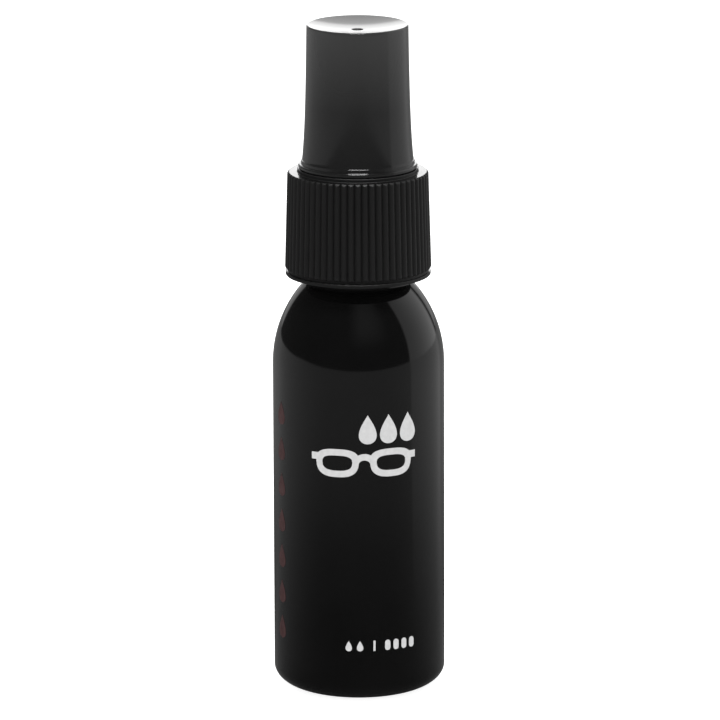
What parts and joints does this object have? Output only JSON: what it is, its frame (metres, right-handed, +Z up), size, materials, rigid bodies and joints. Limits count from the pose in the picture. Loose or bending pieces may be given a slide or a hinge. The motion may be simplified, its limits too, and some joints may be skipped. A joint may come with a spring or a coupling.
{
  "type": "lens cleaning spray",
  "caption": "Slim round bottle with domed shoulder, ribbed screw closure, fine-mist pump and tall lift-off overcap, for spectacle lens cleaner.",
  "frame": {"origin": "centre of the standing ring under the bottle", "axes": "+Z up along the axis of bottle and pump; the nozzle faces -Y, which is the printed front"},
  "size_m": [0.0288, 0.0288, 0.1133],
  "materials": {
    "bottle_plastic": "high gloss, blow moulded",
    "closure_plastic": "satin, moulded",
    "overcap_plastic": "semi-gloss, moulded",
    "actuator_plastic": "semi-gloss, moulded",
    "insert_plastic": "glossy, moulded",
    "stem_plastic": "natural white, moulded",
    "piston_plastic": "natural white, soft",
    "pump_plastic": "natural white, moulded",
    "tube_plastic": "natural, extruded",
    "gasket_foam": "foamed sheet, die cut",
    "seal_rubber": "moulded",
    "spring_steel": "drawn stainless wire",
    "ball_steel": "polished"
  },
  "bodies": {
    "bottle": {"bottle": "bottle_plastic"},
    "pump": {"pump_housing": "pump_plastic", "turret_ring": "pump_plastic", "stem_seal": "seal_rubber", "neck_gasket": "gasket_foam", "dip_tube": "tube_plastic", "return_spring": "spring_steel"},
    "closure": {"closure_collar": "closure_plastic"},
    "overcap": {"overcap": "overcap_plastic"},
    "valve_rod": {"lower_stem": "stem_plastic", "precompression_spring": "spring_steel"},
    "spray_head": {"actuator": "actuator_plastic", "nozzle_insert": "insert_plastic", "upper_stem": "stem_plastic"},
    "piston": {"piston": "piston_plastic"},
    "inlet_ball": {"inlet_ball": "ball_steel"}
  },
  "joints": [
    {"name": "pump_lift", "type": "slide", "parent": "bottle", "child": "pump", "axis": [0, 0, 1], "range_m": [0, 0.00476]},
    {"name": "closure_turn", "type": "hinge", "parent": "pump", "child": "closure", "pos_m": [0, 0, 0.0797], "axis": [0, 0, 1], "range_deg": [0, 540]},
    {"name": "overcap_lift", "type": "slide", "parent": "closure", "child": "overcap", "axis": [0, 0, 1], "range_m": [0, 0.03]},
    {"name": "press", "type": "slide", "parent": "pump", "child": "valve_rod", "axis": [0, 0, -1], "range_m": [0, 0.0045], "stiffness_N_per_m": 100, "springref_m": -0.002, "deforming": ["return_spring"]},
    {"name": "head_turn", "type": "hinge", "parent": "valve_rod", "child": "spray_head", "pos_m": [0, 0, 0.0966], "axis": [0, 0, 1], "continuous": true},
    {"name": "piston_slip", "type": "slide", "parent": "valve_rod", "child": "piston", "axis": [0, 0, 1], "range_m": [0, 0.0006], "deforming": ["precompression_spring"]},
    {"name": "ball_lift", "type": "slide", "parent": "pump", "child": "inlet_ball", "axis": [0, 0, 1], "range_m": [0, 0.001]}
  ],
  "couplings": [
    {"joint": "closure_turn", "follows": "pump_lift", "rad_per_m": 1979}
  ]
}
